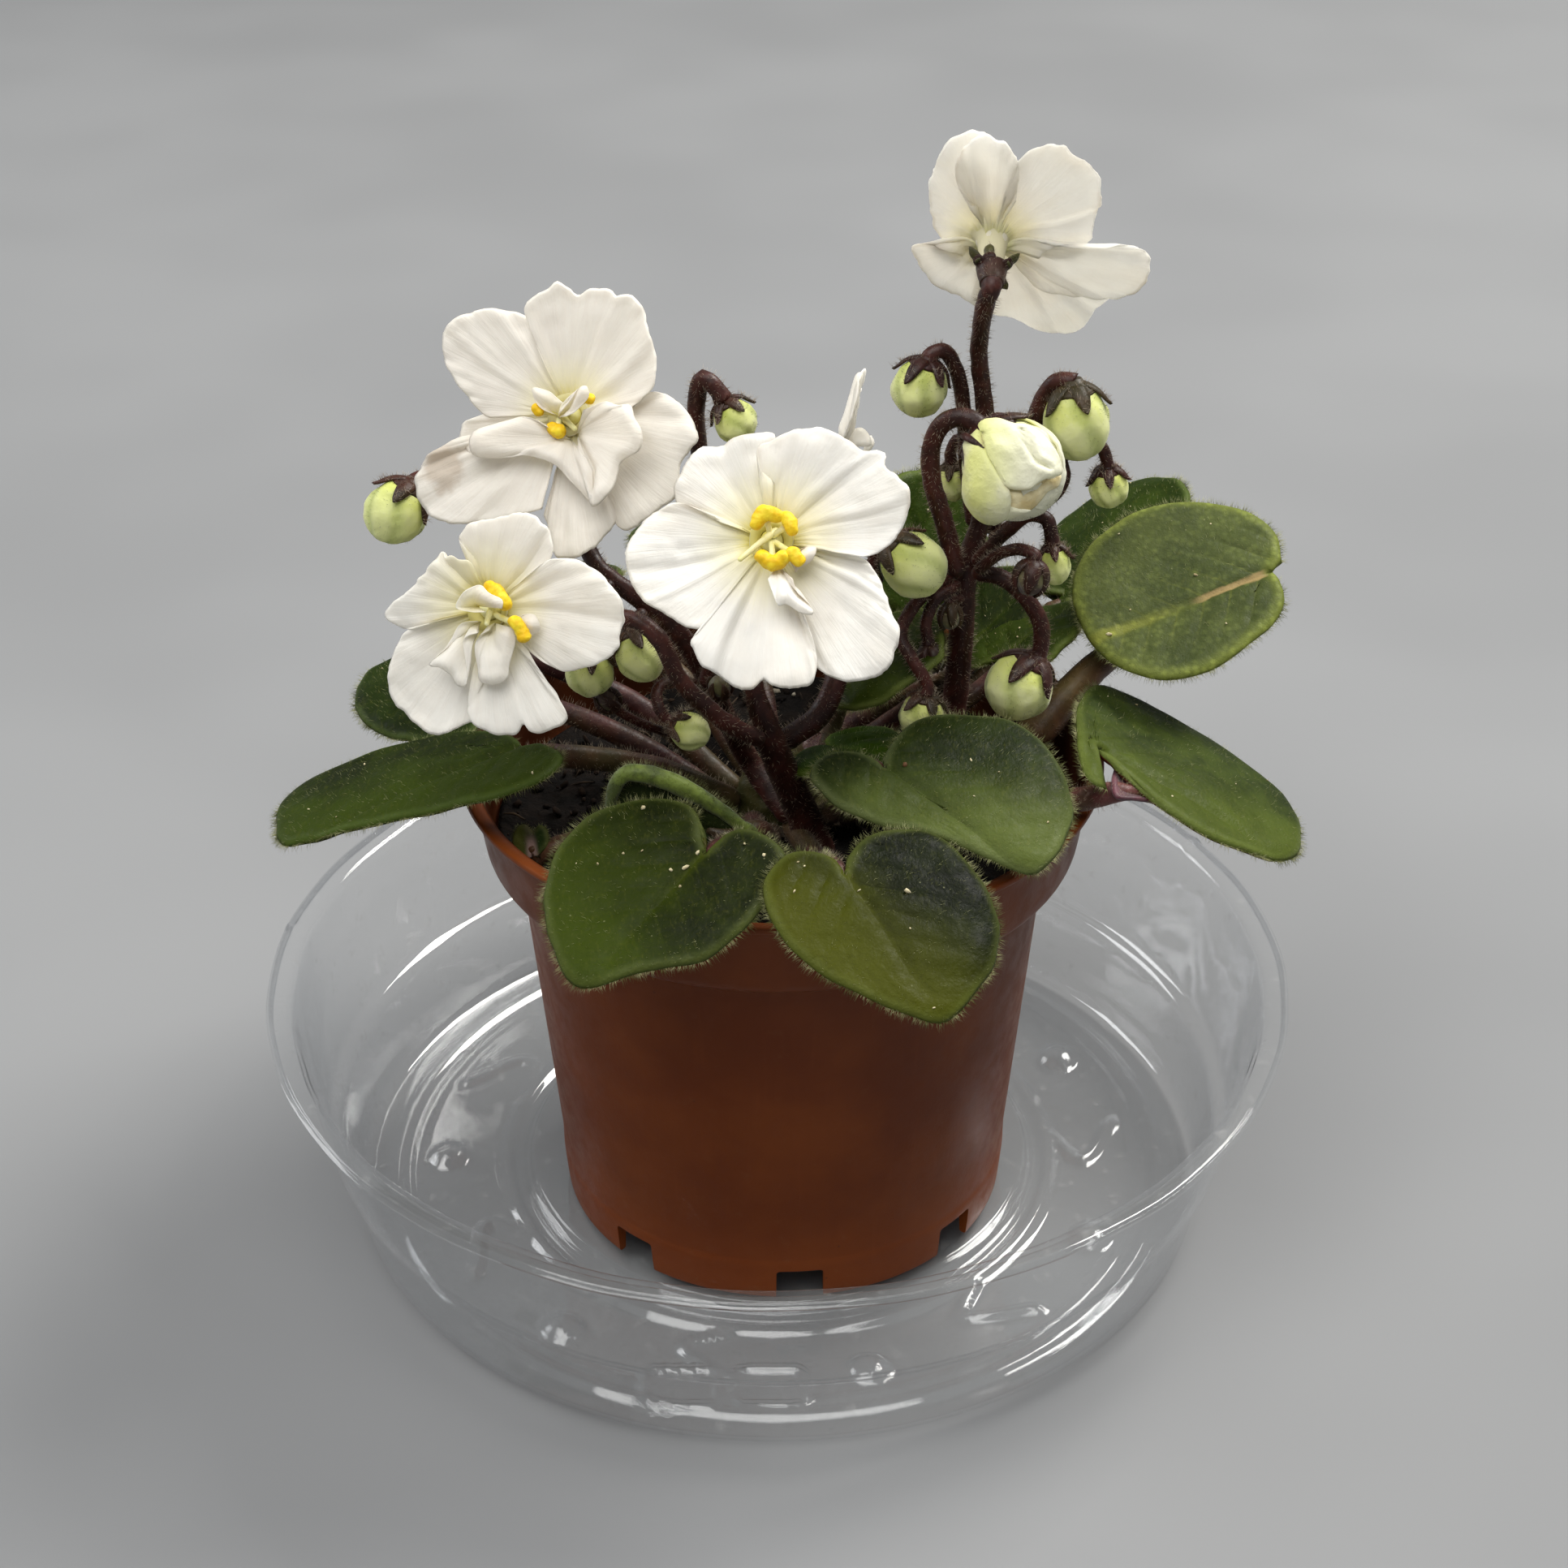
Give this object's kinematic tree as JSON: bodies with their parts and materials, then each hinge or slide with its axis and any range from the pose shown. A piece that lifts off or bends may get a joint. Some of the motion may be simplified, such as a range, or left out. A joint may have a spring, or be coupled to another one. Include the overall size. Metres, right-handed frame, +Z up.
{
  "type": "potted African violet in a clear saucer",
  "caption": "Miniature white-flowered African violet growing in a round plastic pot that stands in a clear drip saucer.",
  "frame": {"origin": "centre of the saucer's flat underside", "axes": "+Z up; -Y towards the side the picture was taken from; +X to the right of that view"},
  "size_m": [0.1168, 0.1168, 0.1251],
  "materials": {
    "pot": "thin moulded plastic, terracotta brown, satin",
    "saucer": "clear thin vinyl, glossy",
    "soil": "moist dark potting mix",
    "crown": "short scaly stem",
    "leaf": "quilted, hairy, dark green with a lighter edge",
    "stem": "dark maroon, hairy",
    "petals": "white, thin, finely crinkled",
    "opening_petals": "creamy green-white, folded",
    "stamens": "golden yellow",
    "bud": "yellow-green with maroon hairy calyx"
  },
  "bodies": {
    "root": {"bud_behind_stalk": "bud", "bud_far_left": "bud", "bud_far_right": "bud", "bud_left_a": "bud", "bud_left_b": "bud", "bud_left_low": "bud", "bud_left_tiny": "bud", "bud_low_mid": "bud", "bud_mid_left": "bud", "bud_mid_right": "bud", "bud_mid_small": "bud", "bud_top_left": "bud", "bud_top_right": "bud", "bud_top_small": "bud", "bud_young_a": "bud", "bud_young_b": "bud", "bud_young_c": "bud", "bud_young_d": "bud", "crown": "crown", "flower_behind": "petals", "flower_centre": "petals", "flower_lower_left": "petals", "flower_opening": "opening_petals", "flower_top_right": "petals", "flower_upper_left": "petals", "leaf_back_right": "leaf", "leaf_back_upright": "leaf", "leaf_behind_front": "leaf", "leaf_front": "leaf", "leaf_front_left": "leaf", "leaf_front_right": "leaf", "leaf_inner_front": "leaf", "leaf_inner_low": "leaf", "leaf_inner_right": "leaf", "leaf_inner_up": "leaf", "leaf_left_back": "leaf", "leaf_left_long": "leaf", "leaf_rear_a": "leaf", "leaf_rear_b": "leaf", "leaf_rear_c": "leaf", "leaf_rear_d": "leaf", "leaf_rear_e": "leaf", "leaf_right_low": "leaf", "leaf_right_round": "leaf", "leaf_small_left": "leaf", "pedicel_behind": "stem", "pedicel_lower_left": "stem", "peduncle_centre": "stem", "peduncle_left": "stem", "peduncle_right": "stem", "pot": "pot", "saucer": "saucer", "soil": "soil", "stamens_behind": "stamens", "stamens_centre": "stamens", "stamens_lower_left": "stamens", "stamens_top_right": "stamens", "stamens_upper_left": "stamens"}
  },
  "joints": []
}
